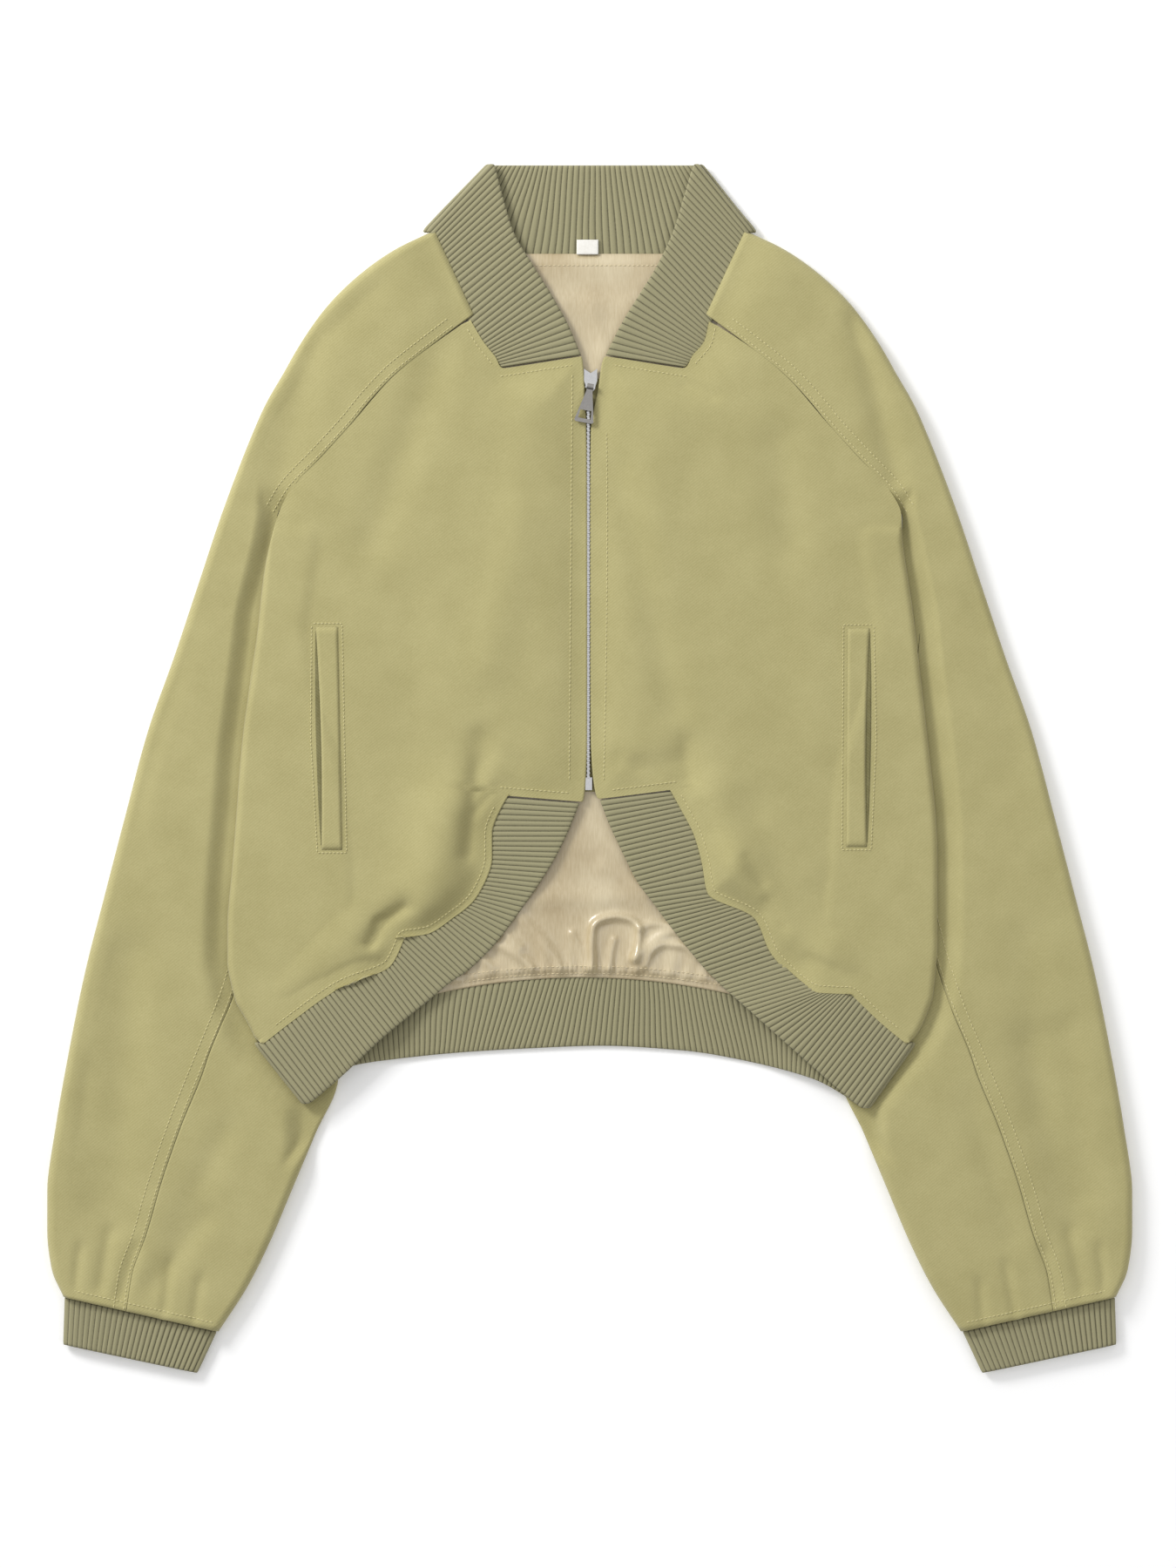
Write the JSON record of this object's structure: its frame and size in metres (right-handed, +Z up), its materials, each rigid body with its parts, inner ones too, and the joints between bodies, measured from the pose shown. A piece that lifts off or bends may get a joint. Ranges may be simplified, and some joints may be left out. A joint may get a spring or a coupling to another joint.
{
  "type": "bomber jacket",
  "caption": "Cropped raglan bomber jacket laid flat and zipped up, with rib knit collar, cuffs and hem, satin lining, welt pockets and a swinging zip pull",
  "frame": {"origin": "centre of the underside of the bounding box, on the surface that the jacket lies on", "axes": "+X to the viewer's right across the jacket, +Y from hem to collar, +Z up from the surface, front upward"},
  "size_m": [0.7452, 0.832, 0.0198],
  "materials": {
    "twill": "matt brushed cotton twill",
    "rib": "matt rib knit",
    "satin": "glossy satin weave",
    "tape": "matt woven tape",
    "label": "plain woven label",
    "metal": "polished zip metal"
  },
  "bodies": {
    "jacket": {"back": "twill", "front_left": "twill", "front_right": "twill", "sleeve_left": "twill", "sleeve_left_under": "twill", "sleeve_right": "twill", "sleeve_right_under": "twill", "pocket_welt_left": "twill", "pocket_welt_right": "twill", "collar": "rib", "hem_rib": "rib", "cuff_left": "rib", "cuff_right": "rib", "lining_back": "satin", "label": "label", "zip_tape_left": "tape", "zip_tape_right": "tape", "zip_chain": "metal", "zip_slider": "metal", "zip_box": "metal"},
    "pull": {"zip_pull": "metal"}
  },
  "joints": [
    {"name": "pull_swing", "type": "hinge", "parent": "jacket", "child": "pull", "pos_m": [0.0004, 0.262, 0.011], "axis": [-0.9826, 0.1857, 0], "range_deg": [0, 150]}
  ]
}
